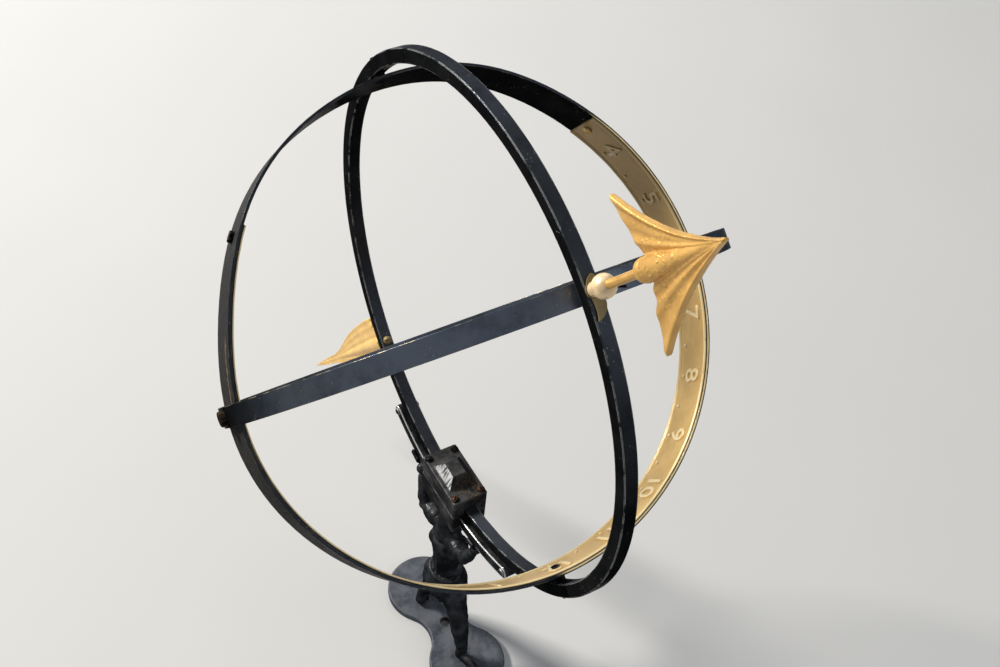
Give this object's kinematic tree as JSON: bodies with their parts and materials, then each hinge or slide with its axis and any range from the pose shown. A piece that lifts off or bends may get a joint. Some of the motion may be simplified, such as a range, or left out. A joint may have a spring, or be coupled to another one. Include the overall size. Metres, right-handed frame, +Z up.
{
  "type": "armillary sundial",
  "caption": "Open sphere of metal rings with an inner hour strip and an arrow gnomon, tilted in a clamp on a cast strongman figure and a dumbbell-shaped base plate.",
  "frame": {"origin": "centre of the base plate's middle hole, at the plate's underside", "axes": "+Z up, +Y north, the way the arrow leans, +X east; the polar axis leans 51 degrees above +Y"},
  "size_m": [0.3604, 0.4729, 0.6459],
  "materials": {
    "black_paint": "satin black paint, chipped and dusty, with stray gold specks and bright worn edges",
    "stand_iron": "dull grey-black cast surface, dusty in the hollows and worn brighter on the high parts",
    "strip_gold": "satin ochre gold, brushed along its length, with brighter raised rims and numerals",
    "gold_paint": "bright lumpy cast gold surface, darker in the grooves",
    "fastener_steel": "dull darkened steel, rusty in places"
  },
  "bodies": {
    "stand": {"base_plate": "stand_iron", "foot_screws": "fastener_steel", "figure": "stand_iron", "clamp_stud": "fastener_steel", "clamp_body": "stand_iron", "clamp_cap": "stand_iron", "cap_screws": "fastener_steel", "cradle_arc": "black_paint", "cradle_rivets": "black_paint"},
    "sphere": {"meridian_ring": "black_paint", "equatorial_band": "black_paint", "colure_ring": "black_paint", "hour_strip": "strip_gold", "strip_end_screws": "gold_paint", "strip_end_nuts": "black_paint", "ring_joint_screws": "black_paint", "ring_joint_spacers": "black_paint", "ring_joint_washers": "fastener_steel", "colure_bolts": "fastener_steel", "colure_nuts": "fastener_steel", "colure_spacer": "black_paint", "gnomon_rod": "gold_paint", "split_pin": "fastener_steel", "arrow_ball": "gold_paint", "tab_washer": "gold_paint", "pole_nuts": "gold_paint", "arrowhead": "gold_paint", "tail_vane": "gold_paint", "tail_stud": "gold_paint"}
  },
  "joints": [
    {"name": "latitude_slide", "type": "hinge", "parent": "stand", "child": "sphere", "pos_m": [0, 0, 0.39], "axis": [1, 0, 0], "range_deg": [-18, 8]}
  ]
}
